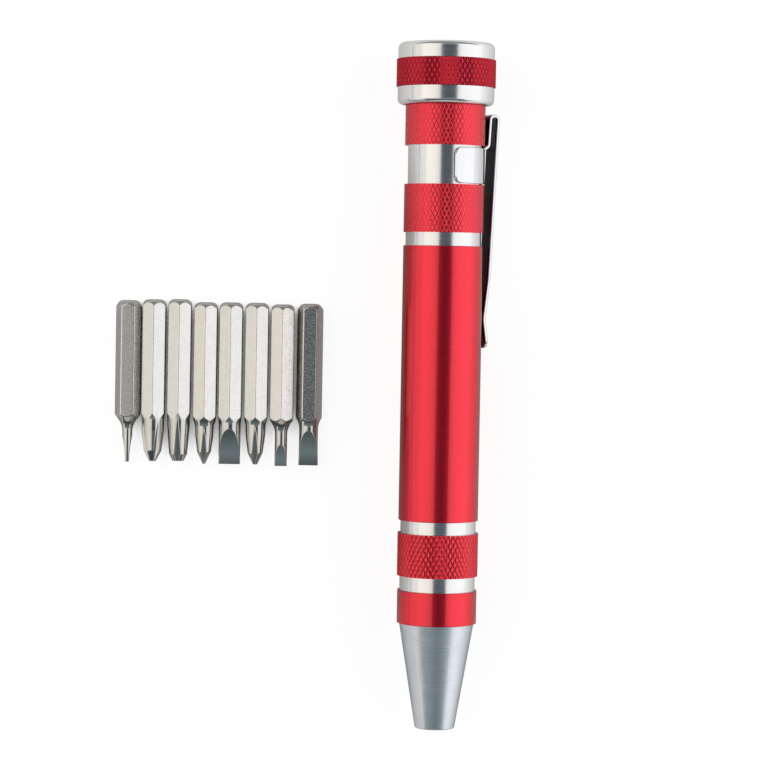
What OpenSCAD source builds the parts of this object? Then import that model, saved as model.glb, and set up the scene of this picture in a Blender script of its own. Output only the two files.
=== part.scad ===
// Pocket screwdriver with bits stored in its barrel, laid flat beside its row of eight bits.
// The driver is drawn upright, nose down, and laid along Y by one placing module.
// It rests on the front ring and the wider cap, so it lies a degree off level.

/* [Barrel] */
// Outside diameter of the bare tube that shows in the grooves
tube_d = 13.1; // [12.9:0.05:15.6]
// How far the red sleeve and rings stand proud of the bare tube
ring_rise = 0.375; // [0.3:0.025:0.8]
// Bore of the tube, which three bits fill side by side
store_d = 10.2; // [9.6:0.1:10.8]
// Length of the smooth ring behind the nose
front_ring_len = 5.8; // [3:0.1:9]
// Length of the groove between the front ring and the grip ring
front_groove_len = 2.5; // [1:0.1:5]
// Length of the knurled grip ring
grip_ring_len = 7.45; // [4:0.05:12]
// How far the grip ring stands proud of the sleeve
grip_ring_rise = 0.1; // [0:0.02:0.3]
// Length of the groove between the grip ring and the sleeve
grip_groove_len = 2.2; // [1:0.1:5]
// Length of the long smooth sleeve
sleeve_len = 47.65; // [40:0.05:60]
// Length of the groove between the sleeve and the middle ring
sleeve_groove_len = 2.3; // [1:0.1:5]
// Length of the knurled ring below the clip
middle_ring_len = 8.3; // [5:0.1:12]
// Length of the groove that holds the clip
clip_groove_len = 6.7; // [6.5:0.1:8]
// Depth of the groove that holds the clip, below the bare tube
clip_groove_depth = 0.2; // [0.1:0.05:0.35]
// Length of the knurled ring above the clip
top_ring_len = 6.95; // [6.6:0.05:12]
// Chamfer on the ends of the smooth rings
ring_edge = 0.12; // [0.05:0.01:0.2]

/* [Nose and socket] */
// Length of the tapered nose
nose_len = 18.4; // [17:0.1:24]
// Step from the tube's edge in to the nose
nose_step = 0.05; // [0:0.05:0.3]
// Diameter of the nose at its tip
nose_tip_d = 6.9; // [6.6:0.05:8]
// Chamfer round the nose tip
nose_edge = 0.25; // [0.1:0.05:0.4]
// Length of the plug that fixes the nose in the tube
nose_plug_len = 6; // [3:0.1:8]
// Depth of the hexagon socket
socket_depth = 12; // [8:0.5:13]
// Outside diameter of the steel socket bush
socket_bush_d = 5.7; // [5.5:0.05:6.2]
// Chamfer at the mouth of the socket
socket_mouth = 0.3; // [0.1:0.05:0.4]
// Diameter of the magnet behind the socket
magnet_d = 4; // [3:0.1:4.4]
// Thickness of the magnet
magnet_len = 3; // [1.5:0.1:4]
// Play across the flats between a bit and the socket
socket_play = 0.08; // [0.04:0.01:0.2]

/* [Cap] */
// How far the cap's bare ends stand proud of the sleeve
cap_rise = 1.425; // [1.1:0.025:1.8]
// How far the knurled band stands proud of the cap's bare ends
cap_band_rise = 0.25; // [0.1:0.05:0.8]
// Depth of the seat that is turned in the cap for its knurled band
cap_seat_depth = 0.45; // [0.35:0.05:0.7]
// Length of the bare skirt below the band
cap_skirt_len = 3.15; // [2.2:0.05:5]
// Length of the knurled band
cap_band_len = 4.75; // [4.2:0.05:8]
// Length of the bare end of the cap
cap_end_len = 2.85; // [1.6:0.05:4]
// Rounding of the skirt's lower rim
skirt_round = 0.9; // [0.3:0.05:1]
// Rounding of the rim at the cap's end
end_round = 0.9; // [0.3:0.05:1.4]
// How far the threaded neck is turned down below the bare tube
neck_depth = 0.55; // [0.45:0.05:0.75]
// Length of the threaded neck
neck_len = 5.5; // [4:0.1:6]
// Chamfer at the end of the neck
neck_edge = 0.3; // [0.1:0.05:0.4]
// Length of the spigot that fixes the end plug in the cap
end_plug_len = 1; // [0.6:0.1:1.4]
// Thickness of the sealing ring's section
seal_t = 1; // [0.8:0.05:1.1]

/* [Clip] */
// Thickness of the clip's spring steel
clip_t = 0.55; // [0.4:0.05:0.6]
// Height of the band that grips the barrel
band_h = 6.2; // [5:0.1:6.4]
// Angle that the band wraps round the barrel
band_wrap = 195; // [185:1:230]
// Rounding of the corners at the band's ends
band_corner = 1.1; // [0.5:0.1:1.4]
// Gap between the band and the ring below it
band_gap = 0.15; // [0.05:0.05:0.3]
// Direction in which the clip points, turned down from level
clip_turn = 22; // [0:1:28]
// Height of the loop over the band
loop_rise = 6; // [4:0.1:6.3]
// Clear width inside the loop
loop_gap = 0.9; // [0.7:0.1:1.6]
// Gap between the tongue and the ring that it passes
tongue_gap = 0.2; // [0.1:0.05:0.5]
// How far the tongue leans outwards on its way up to the loop
tongue_lean = 0.3; // [0.1:0.05:0.6]
// Length of the clip from the loop's top to its tip
clip_len = 40.6; // [36:0.1:44]
// Gap between the arm and the sleeve at the arm's knee
knee_gap = 0.85; // [0.4:0.05:1.5]
// Distance of the knee from the tip
knee_from_tip = 12; // [10:0.1:16]
// Distance from the tip to where the arm touches the sleeve
seat_from_tip = 5; // [3:0.1:8]
// Gap between the turned-up tip and the sleeve
tip_gap = 0.8; // [0.3:0.05:2]
// Width of the clip at its loop
arm_root_w = 4.4; // [3.6:0.1:5]
// Width of the clip at its tip
arm_tip_w = 3.5; // [2.6:0.1:4.4]

/* [Knurling] */
// Spacing of the diamonds round a ring
knurl_pitch = 1.12; // [1:0.02:1.8]
// Lean of the knurling's lines from the axis
knurl_angle = 29; // [20:1:40]
// Depth of the light knurling on the upper rings
light_knurl = 0.14; // [0.05:0.01:0.2]
// Depth of the sharp knurling on the grip ring
sharp_knurl = 0.22; // [0.1:0.01:0.26]
// Depth of the knurling on the cap
cap_knurl = 0.3; // [0.1:0.01:0.4]

/* [Bits] */
// Width of the bits' hexagon across its flats
hex_af = 4; // [3.9:0.02:4.04]
// Length of a bit
bit_len = 28.4; // [26:0.1:29]
// Length of the hexagon with its chamfered ends
shank_len = 20; // [18:0.5:22]
// Length of the chamfer at a bit's back end
bit_chamfer_len = 1; // [0.5:0.1:1.6]
// Lean of the chamfer at a bit's back end
bit_chamfer_angle = 29; // [15:1:40]
// Radius of the sweep from neck to shoulder
shoulder_sweep = 3.4; // [2:0.1:5]
// Radius of the wheel that hollow-grinds the slotted blades
grind_r = 20; // [14:1:40]
// Point angle of the cross-point bits, from the axis
point_angle = 26.5; // [24:0.5:30]
// Angle of a cross-point flute, from its middle
flute_angle = 46; // [44:0.5:50]

/* [Layout] */
// Distance from the driver's axis to the middle of the row of bits
row_distance = 38.9; // [34:0.1:60]
// Usual gap between neighbouring bits
bit_gap = 0.5; // [0.3:0.05:2]
// How far the middle of the bits lies from the middle of the driver, towards the nose
row_offset = 0.15; // [-10:0.05:10]

/* [Hidden] */
$fn = 64;

// Every cut runs past the surface by this much
over = 0.5;
// Play between pieces that are pressed or glued together
press_play = 0.02;
// Play between pieces that turn or slide on each other
run_play = 0.06;
// Gap at rest between the cap and the ring that it closes on
cap_gap = 0.05;

// Places along the driver, from the tip of the nose upwards
front_ring_at = nose_len;
front_groove_at = front_ring_at + front_ring_len;
grip_ring_at = front_groove_at + front_groove_len;
grip_groove_at = grip_ring_at + grip_ring_len;
sleeve_at = grip_groove_at + grip_groove_len;
sleeve_groove_at = sleeve_at + sleeve_len;
middle_ring_at = sleeve_groove_at + sleeve_groove_len;
clip_groove_at = middle_ring_at + middle_ring_len;
top_ring_at = clip_groove_at + clip_groove_len;
neck_at = top_ring_at + top_ring_len;
neck_top = neck_at + neck_len;
cap_band_at = neck_at + cap_skirt_len;
cap_end_at = cap_band_at + cap_band_len;
driver_len = cap_end_at + cap_end_len;

// Radii that several pieces share
tube_r = tube_d / 2;
sleeve_r = tube_r + ring_rise;
store_r = store_d / 2;
ring_bore_r = tube_r + press_play;
grip_ring_r = sleeve_r + grip_ring_rise;
clip_groove_r = tube_r - clip_groove_depth;
nose_top_r = tube_r - nose_step;
bush_r = socket_bush_d / 2;
neck_r = tube_r - neck_depth;
cap_bore_r = neck_r + run_play;
cap_r = sleeve_r + cap_rise;
cap_band_r = cap_r + cap_band_rise;
cap_seat_r = cap_r - cap_seat_depth;
seal_r = seal_t / 2;
seal_mid_r = neck_r + run_play + seal_r;
seal_room_r = seal_mid_r + seal_r + run_play;
seal_room_len = seal_t + 2 * run_play;

// The driver lies on the edge of its front ring and on the edge of its cap's band
front_rest_at = front_ring_at + ring_edge;
lie_angle = atan((cap_band_r - sleeve_r) / (cap_band_at - front_rest_at));
nose_height = sleeve_r * cos(lie_angle) - front_rest_at * sin(lie_angle);

// The clip, with distances out from the axis and along it
band_r = clip_groove_r + run_play / 2;
band_mid_r = band_r + clip_t / 2;
band_at = clip_groove_at + band_gap;
band_top = band_at + band_h;
tongue_r = sleeve_r + tongue_gap + clip_t / 2;
tongue_top_r = tongue_r + tongue_lean;
loop_r = (loop_gap + clip_t) / 2;
loop_mid_r = tongue_top_r + loop_r;
arm_top_r = tongue_top_r + 2 * loop_r;
loop_top = band_top + loop_rise;
loop_line = loop_top - clip_t / 2;
clip_tip_at = loop_top - clip_len;
knee_at = clip_tip_at + knee_from_tip;
seat_at = clip_tip_at + seat_from_tip;
knee_r = sleeve_r + knee_gap + clip_t / 2;
seat_r = sleeve_r + run_play + clip_t / 2;
tip_r = sleeve_r + tip_gap + clip_t / 2;
// The bends of the clip are rounded by these multiples of its thickness
tongue_bend = 1.1 * clip_t;
knee_bend = 16 * clip_t;
seat_bend = 9 * clip_t;
// The tongue leaves the band and stands upright again at these shares of its thickness from the edge
tongue_shares = [0.8, 0.45];
tongue_foot_r = band_mid_r + clip_t / 12;
// Both sides of the loop are bent to this share of its half width, so that they meet on a straight
loop_bend_share = 0.94;
// The band's corners are cut this much wider than their rounding, so that they meet the edges at an angle
corner_share = 1.03;
// How far the outermost near corner of the clip lies out from the driver's axis, seen from above
clip_reach = (arm_top_r + clip_t / 2) * cos(clip_turn) + arm_root_w / 2 * sin(clip_turn);

// The bits' hexagon
hex_in_r = hex_af / 2;
hex_out_r = hex_in_r / cos(30);
socket_af = hex_af + socket_play;

// Slotted bits: neck diameter, blade thickness, length of the ground flats, spread of the blade
slot_1_5 = [1.76, 0.62, 4.6, 0];
slot_2 = [2.16, 0.45, 3.8, 0];
slot_3 = [3.3, 0.6, 6.1, 0.16];
slot_3_5 = [3.8, 0.7, 6.2, 0];
// Cross-point bits: diameter of the neck, of the point's root and of its blunt end,
// then the distance from the axis to the flutes at the end, and the flutes' length
cross_00 = [3.2, 2.6, 0.5, 0.24, 6.2];
cross_0 = [3.5, 2.8, 0.81, 0.34, 6.6];
cross_1 = [3.9, 3.1, 1.27, 0.5, 6.8];
cross_2 = [3.94, 3.3, 2.1, 0.72, 8];
// The taper from neck to point ends at this share of the flutes' length
taper_share = 0.8;
// Lean of the shoulder from the axis, on wide necks and on slim ones
wide_shoulder = 24;
slim_shoulder = 36;

// Bits from the far side of the row to the driver: which lie with a corner up
corner_up = [false, true, true, true, true, true, true, false];
// Gaps in the row, as shares of the usual gap
gap_shares = [0.4, 1, 1.1, 0.9, 1.1, 1, 1];
// How far each bit lies up the row, as a share of the usual gap
slip_shares = [0.3, 0.7, 0.9, 0, 0.1, 0.1, -0.3, 0.1];
last_bit = len(corner_up) - 1;
function half_w(i) = corner_up[i] ? hex_in_r : hex_out_r;
function half_h(i) = corner_up[i] ? hex_out_r : hex_in_r;
function row_place(i) =
    i == 0 ? half_w(0) : row_place(i - 1) + half_w(i - 1) + gap_shares[i - 1] * bit_gap + half_w(i);
row_w = row_place(last_bit) + half_w(last_bit);

// The origin is under the middle of the whole set
driver_x = (row_distance + row_w / 2 - clip_reach) / 2;
row_x = driver_x - row_distance - row_w / 2;
nose_y = -driver_len * cos(lie_angle) / 2;
row_tip_y = -row_offset - bit_len / 2;

// Colours
red = [0.78, 0.06, 0.1];
bare = [0.84, 0.84, 0.83];
chrome = [0.9, 0.9, 0.92];
steel = [0.72, 0.69, 0.64];
dark = [0.2, 0.2, 0.21];

// Points of an arc about a centre, from one angle to another
function arc(at, r, from, to, steps = 8) =
    [for (i = [0 : steps]) let (a = from + (to - from) * i / steps) at + r * [cos(a), sin(a)]];

// A path of straight stretches whose corners are rounded by the radii given
function unit(v) = v / norm(v);
function corner_arc(before, at, after, r, steps = 8) =
    let (u = unit(before - at), v = unit(after - at), half = acos(u * v) / 2)
    let (centre = at + unit(u + v) * r / sin(half), start = at + u * r / tan(half) - centre)
    let (swing = 180 - 2 * half, side = sign(u.x * v.y - u.y * v.x))
    [for (i = [0 : steps]) let (a = -side * swing * i / steps)
        centre + [start.x * cos(a) - start.y * sin(a), start.x * sin(a) + start.y * cos(a)]];
function rounded(path, radii) = distinct([
    path[0],
    for (i = [1 : len(path) - 2]) each corner_arc(path[i - 1], path[i], path[i + 1], radii[i]),
    path[len(path) - 1]
]);

// A path without points that fall on the one before
function distinct(path) = [
    for (i = [0 : len(path) - 1]) if (i == 0 || norm(path[i] - path[i - 1]) > clip_t / 100) path[i]
];

// One side of a strip: the path moved sideways, mitred at its points
function side_normal(a, b) = let (d = unit(b - a)) [d.y, -d.x];
function path_side(path, away) = let (last = len(path) - 1) [
    for (i = [0 : last])
        let (n0 = side_normal(path[max(i - 1, 0)], path[max(i, 1)]))
        let (n1 = side_normal(path[min(i, last - 1)], path[min(i + 1, last)]))
        path[i] + (n0 + n1) * away / (1 + n0 * n1)
];
function reversed(list) = [for (i = [len(list) - 1 : -1 : 0]) list[i]];
module strip(path, thickness) {
    polygon(concat(path_side(path, thickness / 2), reversed(path_side(path, -thickness / 2))));
}

// Lays an upright driver along Y, on its front ring and its cap
module laid() {
    translate([driver_x, nose_y, nose_height]) rotate([lie_angle - 90, 0, 0]) children();
}

// Lays an upright bit at its place in the row
module laid_bit(i) {
    tip_y = row_tip_y + slip_shares[i] * bit_gap;
    translate([row_x + row_place(i), tip_y, half_h(i)]) rotate([-90, 0, 0]) children();
}

module raised(height) {
    translate([0, 0, height]) children();
}

// A ring turned from tube, with chamfered ends
module smooth_ring(at, length, r) {
    rotate_extrude() polygon([
        [ring_bore_r, at],
        [r - ring_edge, at],
        [r, at + ring_edge],
        [r, at + length - ring_edge],
        [r - ring_edge, at + length],
        [ring_bore_r, at + length]
    ]);
}

// A knurled tube: rows of points half a diamond apart, every other one sunk to the groove
module knurled_blank(r, inner_r, length, depth) {
    columns = 2 * round(2 * PI * r / knurl_pitch);
    rows = max(2, round(2 * length * tan(knurl_angle) / knurl_pitch));
    function place(i, j) = i * columns + j % columns;
    function sunk(i, j) = (i + j) % 2 == 1;
    function spot(rr, j, z) = [rr * cos(90 + 360 * j / columns), rr * sin(90 + 360 * j / columns), z];
    outside = [
        for (i = [0 : rows], j = [0 : columns - 1]) spot(sunk(i, j) ? r - depth : r, j, length * i / rows)
    ];
    inside = [for (i = [0, 1], j = [0 : columns - 1]) spot(inner_r, j, length * i)];
    diamonds = [
        for (i = [0 : rows - 1], j = [0 : columns - 1])
            let (a = place(i, j), b = place(i, j + 1), c = place(i + 1, j + 1), d = place(i + 1, j))
            each sunk(i, j) ? [[a, d, c], [a, c, b]] : [[a, d, b], [b, d, c]]
    ];
    walls = [
        for (j = [0 : columns - 1])
            let (low = place(rows + 1, j), next_low = place(rows + 1, j + 1))
            let (high = place(rows + 2, j), next_high = place(rows + 2, j + 1))
            each [
                [low, next_low, next_high, high],
                [place(0, j), place(0, j + 1), next_low, low],
                [place(rows, j), high, next_high, place(rows, j + 1)]
            ]
    ];
    polyhedron(concat(outside, inside), concat(diamonds, walls));
}

module knurled_ring(at, length, r, bore_r, depth) {
    difference() {
        raised(at) knurled_blank(r, bore_r - over, length, depth);
        raised(at - over) cylinder(h = length + 2 * over, r = bore_r, $fn = 240);
    }
}

module barrel_tube() {
    color(bare) laid() rotate_extrude() polygon([
        [store_r, nose_len],
        [tube_r, nose_len],
        [tube_r, clip_groove_at],
        [clip_groove_r, clip_groove_at],
        [clip_groove_r, top_ring_at],
        [tube_r, top_ring_at],
        [tube_r, neck_at],
        [neck_r, neck_at],
        [neck_r, neck_top - neck_edge],
        [neck_r - neck_edge, neck_top],
        [store_r + neck_edge, neck_top],
        [store_r, neck_top - neck_edge]
    ]);
}

module top_knurled_ring() {
    color(red) laid() knurled_ring(top_ring_at, top_ring_len, sleeve_r, ring_bore_r, light_knurl);
}

module middle_knurled_ring() {
    color(red) laid() knurled_ring(middle_ring_at, middle_ring_len, sleeve_r, ring_bore_r, light_knurl);
}

module grip_sleeve() {
    color(red) laid() smooth_ring(sleeve_at, sleeve_len, sleeve_r);
}

module grip_knurled_ring() {
    color(red) laid() knurled_ring(grip_ring_at, grip_ring_len, grip_ring_r, ring_bore_r, sharp_knurl);
}

module front_ring() {
    color(red) laid() smooth_ring(front_ring_at, front_ring_len, sleeve_r);
}

// The nose holds the socket bush in front and plugs into the tube behind
module nose_cone() {
    bush_room = socket_depth + magnet_len + press_play;
    hole_r = bush_r + press_play;
    plug_r = store_r - press_play;
    tip_r = nose_tip_d / 2;
    color(bare) laid() rotate_extrude() polygon([
        [hole_r, 0],
        [tip_r - nose_edge, 0],
        [tip_r, nose_edge],
        [nose_top_r, nose_len],
        [plug_r, nose_len],
        [plug_r, nose_len + nose_plug_len - neck_edge],
        [plug_r - neck_edge, nose_len + nose_plug_len],
        [0, nose_len + nose_plug_len],
        [0, bush_room],
        [hole_r, bush_room]
    ]);
}

module hexagon(af, length) {
    cylinder(h = length, d = af / cos(30), $fn = 6);
}

// The bush has the hexagon in front and a round pocket for the magnet behind
module bit_socket() {
    mouth_r = socket_af / 2 / cos(30);
    color(steel) laid() difference() {
        cylinder(h = socket_depth + magnet_len, r = bush_r);
        raised(-over) rotate([0, 0, 30]) hexagon(socket_af, socket_depth + over);
        raised(-socket_mouth) cylinder(h = 2 * socket_mouth, r1 = mouth_r + socket_mouth, r2 = mouth_r - socket_mouth);
        raised(socket_depth - press_play) cylinder(h = magnet_len + over, r = magnet_d / 2 + press_play);
    }
}

module socket_magnet() {
    color(dark) laid() raised(socket_depth) cylinder(h = magnet_len - press_play, d = magnet_d);
}

// The cap's skirt and sleeve, bored for the neck and recessed for the seal
module cap_shell() {
    mouth = neck_at + cap_gap;
    color(bare) laid() rotate_extrude() polygon(concat(
        [[seal_room_r, mouth]],
        arc([cap_r - skirt_round, mouth + skirt_round], skirt_round, -90, 0),
        [
            [cap_r, cap_band_at],
            [cap_seat_r, cap_band_at],
            [cap_seat_r, cap_end_at],
            [cap_bore_r, cap_end_at],
            [cap_bore_r, mouth + seal_room_len],
            [seal_room_r, mouth + seal_room_len]
        ]
    ));
}

module cap_knurled_band() {
    length = cap_band_len - press_play;
    color(red) laid() knurled_ring(cap_band_at, length, cap_band_r, cap_seat_r + press_play, cap_knurl);
}

// The plug closes the cap's end and traps the knurled band
module cap_end_plug() {
    spigot_r = cap_bore_r - press_play;
    color(bare) laid() rotate_extrude() polygon(concat(
        [
            [0, cap_end_at - end_plug_len],
            [spigot_r, cap_end_at - end_plug_len],
            [spigot_r, cap_end_at],
            [cap_r, cap_end_at]
        ],
        arc([cap_r - end_round, driver_len - end_round], end_round, 0, 90),
        [[0, driver_len]]
    ));
}

module cap_seal() {
    color(dark) laid() raised(neck_at + cap_gap + run_play + seal_r) rotate_extrude()
        translate([seal_mid_r, 0]) circle(r = seal_r);
}

// Cuts the round off one corner at an end of the band, whose edges lie along Y and Z
module corner_cut() {
    rotate([0, 90, 0]) linear_extrude(height = 2 * sleeve_r) polygon(concat(
        arc([-band_corner, -band_corner], corner_share * band_corner, 90, 0),
        [[over, -band_corner], [over, over], [-band_corner, over]]
    ));
}

// A strip bent along a path out from the axis and upwards, with its width across the clip
module bent(path) {
    rotate([90, 0, 0]) linear_extrude(height = arm_root_w, center = true) strip(path, clip_t);
}

// The band: most of a ring, with round corners at both ends, and the tongue that bears the loop
module clip_band() {
    tongue_path = rounded(
        [
            [tongue_foot_r, band_top - tongue_shares[0] * clip_t],
            [tongue_r, band_top + tongue_shares[1] * clip_t],
            [tongue_top_r, loop_line],
            [loop_mid_r, loop_line]
        ],
        [0, tongue_bend, loop_bend_share * loop_r, 0]
    );
    color(chrome) laid() rotate([0, 0, clip_turn]) {
        difference() {
            raised(band_at) rotate([0, 0, -band_wrap / 2]) rotate_extrude(angle = band_wrap)
                translate([band_r, 0]) square([clip_t, band_h]);
            for (side = [0, 1]) mirror([0, side, 0]) rotate([0, 0, band_wrap / 2]) {
                raised(band_at) corner_cut();
                raised(band_top) mirror([0, 0, 1]) corner_cut();
            }
        }
        bent(tongue_path);
    }
}

// The arm runs from the loop's top down to the sleeve, touches it and turns up at its round tip
module clip_arm() {
    arm_path = rounded(
        [
            [loop_mid_r, loop_line],
            [arm_top_r, loop_line],
            [knee_r, knee_at],
            [seat_r, seat_at],
            [tip_r, clip_tip_at]
        ],
        [0, loop_bend_share * loop_r, knee_bend, seat_bend, 0]
    );
    tip_corner = arm_tip_w / 2;
    color(chrome) laid() rotate([0, 0, clip_turn]) intersection() {
        bent(arm_path);
        rotate([90, 0, 90]) linear_extrude(height = 2 * arm_top_r) {
            polygon([
                [-tip_corner, clip_tip_at + tip_corner],
                [tip_corner, clip_tip_at + tip_corner],
                [arm_root_w / 2, loop_top + over],
                [-arm_root_w / 2, loop_top + over]
            ]);
            translate([0, clip_tip_at + tip_corner]) circle(r = tip_corner);
        }
    }
}

// A bit's blank: a hexagon turned down to a chamfered back end, a swept shoulder, a neck and a point.
// Its tip is at the bottom, and front holds the outline's points below the shoulder.
module bit_blank(front, throat_r, shoulder, corner) {
    // Above the sweep the shoulder is a straight cone out to the hexagon's corners
    sweep_rise = shoulder_sweep * sin(shoulder);
    sweep_out = shoulder_sweep * (1 - cos(shoulder));
    full = throat_r + sweep_out > hex_out_r;
    lean = full ? acos(1 - (hex_out_r - throat_r) / shoulder_sweep) : shoulder;
    cone_rise = full ? 0 : (hex_out_r - throat_r - sweep_out) / tan(shoulder);
    face_at = bit_len - shank_len;
    neck_end = face_at - (full ? shoulder_sweep * sin(lean) : sweep_rise + cone_rise);
    back_r = hex_out_r - bit_chamfer_len * tan(bit_chamfer_angle);
    wide_r = hex_out_r + over;
    intersection() {
        rotate([0, 0, corner ? 30 : 0]) hexagon(hex_af, bit_len);
        rotate_extrude() polygon(concat(
            front,
            arc([throat_r + shoulder_sweep, neck_end], shoulder_sweep, 180, 180 - lean),
            [
                [hex_out_r, face_at],
                [wide_r, face_at + over],
                [wide_r, bit_len - bit_chamfer_len - over],
                [hex_out_r, bit_len - bit_chamfer_len],
                [back_r, bit_len],
                [0, bit_len]
            ]
        ));
    }
}

// A slotted bit: the neck, hollow-ground from both sides by a wheel
module slotted_bit(sizes, shoulder, corner, turn) {
    r = sizes[0] / 2;
    half_t = sizes[1] / 2;
    ground = sizes[2];
    blade_r = r + sizes[3] / 2;
    chord = [r - half_t, ground];
    out = sqrt(grind_r * grind_r - chord * chord / 4);
    side = unit([ground, half_t - r]) * out;
    wheel = [half_t, 0] + chord / 2 + side;
    difference() {
        bit_blank([[0, 0], [blade_r, 0], [r, ground / 2]], r, shoulder, corner);
        rotate([0, 0, turn]) for (face = [0, 1]) mirror([0, face, 0]) intersection() {
            translate([0, wheel.x, wheel.y]) rotate([0, 90, 0])
                cylinder(h = 4 * hex_af, r = grind_r, center = true, $fn = 180);
            translate([-hex_af, 0, -over]) cube([2 * hex_af, hex_af, ground + over]);
        }
    }
}

// A cross-point bit: the neck tapers to a blunt cone, with four leaning V flutes
module cross_bit(sizes, shoulder, corner, turn) {
    r = sizes[0] / 2;
    root_r = sizes[1] / 2;
    end_r = sizes[2] / 2;
    core_r = sizes[3];
    flute_len = sizes[4];
    cone_len = (root_r - end_r) / tan(point_angle);
    lean = atan((r - core_r) / flute_len);
    reach = 2 * hex_af;
    difference() {
        bit_blank([[0, 0], [end_r, 0], [root_r, cone_len], [r, taper_share * flute_len]], r, shoulder, corner);
        for (k = [0 : 3]) rotate([0, 0, turn + 90 * k])
            translate([core_r, 0, 0]) rotate([0, lean, 0]) raised(-hex_af)
                linear_extrude(height = flute_len / cos(lean) + hex_af + over)
                    polygon([[0, 0], [reach, -reach * tan(flute_angle)], [reach, reach * tan(flute_angle)]]);
    }
}

module slotted_bit_1_5() {
    color(steel) laid_bit(0) slotted_bit(slot_1_5, slim_shoulder, corner_up[0], 90);
}

module cross_bit_1() {
    color(steel) laid_bit(1) cross_bit(cross_1, wide_shoulder, corner_up[1], -58);
}

module cross_bit_2() {
    color(steel) laid_bit(2) cross_bit(cross_2, wide_shoulder, corner_up[2], -92);
}

module cross_bit_00() {
    color(steel) laid_bit(3) cross_bit(cross_00, wide_shoulder, corner_up[3], -88);
}

module slotted_bit_3_5() {
    color(steel) laid_bit(4) slotted_bit(slot_3_5, wide_shoulder, corner_up[4], 0);
}

module cross_bit_0() {
    color(steel) laid_bit(5) cross_bit(cross_0, wide_shoulder, corner_up[5], -90);
}

module slotted_bit_2() {
    color(steel) laid_bit(6) slotted_bit(slot_2, slim_shoulder, corner_up[6], 0);
}

module slotted_bit_3() {
    color(steel) laid_bit(7) slotted_bit(slot_3, slim_shoulder, corner_up[7], 0);
}

barrel_tube();
top_knurled_ring();
middle_knurled_ring();
grip_sleeve();
grip_knurled_ring();
front_ring();
nose_cone();
bit_socket();
socket_magnet();
cap_shell();
cap_knurled_band();
cap_end_plug();
cap_seal();
clip_band();
clip_arm();
slotted_bit_1_5();
cross_bit_1();
cross_bit_2();
cross_bit_00();
slotted_bit_3_5();
cross_bit_0();
slotted_bit_2();
slotted_bit_3();
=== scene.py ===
import math

import bmesh
import bpy
import numpy as np
from mathutils import Matrix, Vector


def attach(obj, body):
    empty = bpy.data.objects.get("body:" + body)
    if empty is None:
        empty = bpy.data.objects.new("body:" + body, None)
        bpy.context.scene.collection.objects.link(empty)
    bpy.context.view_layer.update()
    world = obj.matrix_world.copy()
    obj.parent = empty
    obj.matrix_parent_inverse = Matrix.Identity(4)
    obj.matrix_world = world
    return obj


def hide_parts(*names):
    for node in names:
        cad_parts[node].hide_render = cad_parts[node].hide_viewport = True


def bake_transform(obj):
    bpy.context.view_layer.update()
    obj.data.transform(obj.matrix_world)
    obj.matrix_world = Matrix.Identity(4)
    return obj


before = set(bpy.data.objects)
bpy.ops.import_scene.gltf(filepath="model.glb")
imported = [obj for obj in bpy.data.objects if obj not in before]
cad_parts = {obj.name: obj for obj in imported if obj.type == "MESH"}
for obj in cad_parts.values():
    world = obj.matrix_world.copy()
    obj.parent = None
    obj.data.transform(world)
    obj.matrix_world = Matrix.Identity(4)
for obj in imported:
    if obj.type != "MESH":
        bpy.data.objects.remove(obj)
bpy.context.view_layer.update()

# Barrel tube. A drawn aluminium tube, left bare where four grooves show it and threaded at its neck.
# It is turned between centres, so that fine lines run round it. The cap screws on its neck.
# The driver is described upright, nose down, in millimetres, and laid along Y by this matrix.
DRIVER_X, NOSE_Y, NOSE_HEIGHT, LIE_ANGLE = 23.79048, -59.490327, 6.589938, math.radians(1.03316138)
LAID = Matrix.Translation((DRIVER_X, NOSE_Y, NOSE_HEIGHT)) @ Matrix.Rotation(LIE_ANGLE - math.pi / 2, 4, "X")
MM = 0.001
TUBE_R, STORE_R, NECK_R, CLIP_GROOVE_R = 6.55, 5.1, 6.0, 6.35
NOSE_LEN, CLIP_GROOVE_AT, TOP_RING_AT, NECK_AT, NECK_TOP = 18.4, 94.6, 101.3, 108.25, 113.75
THREAD_SEAT_R, THREAD_SEAT_LOW, THREAD_SEAT_TOP = NECK_R - 0.28, NECK_AT + 0.7, NECK_TOP - 0.5


def mesh_object(name, points, faces, smooth_angle=35):
    """A mesh from points in millimetres in the row frame, with sharp edges kept above an angle."""
    mesh = bpy.data.meshes.new(name)
    mesh.from_pydata([tuple(p * MM for p in point) for point in points], [], faces)
    mesh.validate()
    mesh.polygons.foreach_set("use_smooth", [True] * len(mesh.polygons))
    mesh.set_sharp_from_angle(angle=math.radians(smooth_angle))
    made = bpy.data.objects.new(name, mesh)
    bpy.context.scene.collection.objects.link(made)
    return made


def softened(outline, steps=4, hold=0.04):
    """The outline's corners, given as (r, height, rounding), rounded and held by a point on each side."""
    points = []
    for i, (r, height, rounding) in enumerate(outline):
        at = np.array([r, height])
        before = np.array(outline[i - 1][:2]) - at
        after = np.array(outline[(i + 1) % len(outline)][:2]) - at
        u, v = before / np.linalg.norm(before), after / np.linalg.norm(after)
        half = math.acos(max(-1.0, min(1.0, float(u @ v)))) / 2
        if not rounding or half > math.radians(88):
            points.append(at)
            continue
        reach = rounding / math.tan(half)
        centre = at + (u + v) / np.linalg.norm(u + v) * rounding / math.sin(half)
        a, b = at + u * reach - centre, at + v * reach - centre
        points.append(at + u * (reach + hold))
        for k in range(steps + 1):
            between = a * (1 - k / steps) + b * k / steps
            points.append(centre + between / np.linalg.norm(between) * rounding)
        points.append(at + v * (reach + hold))
    return points


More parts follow.
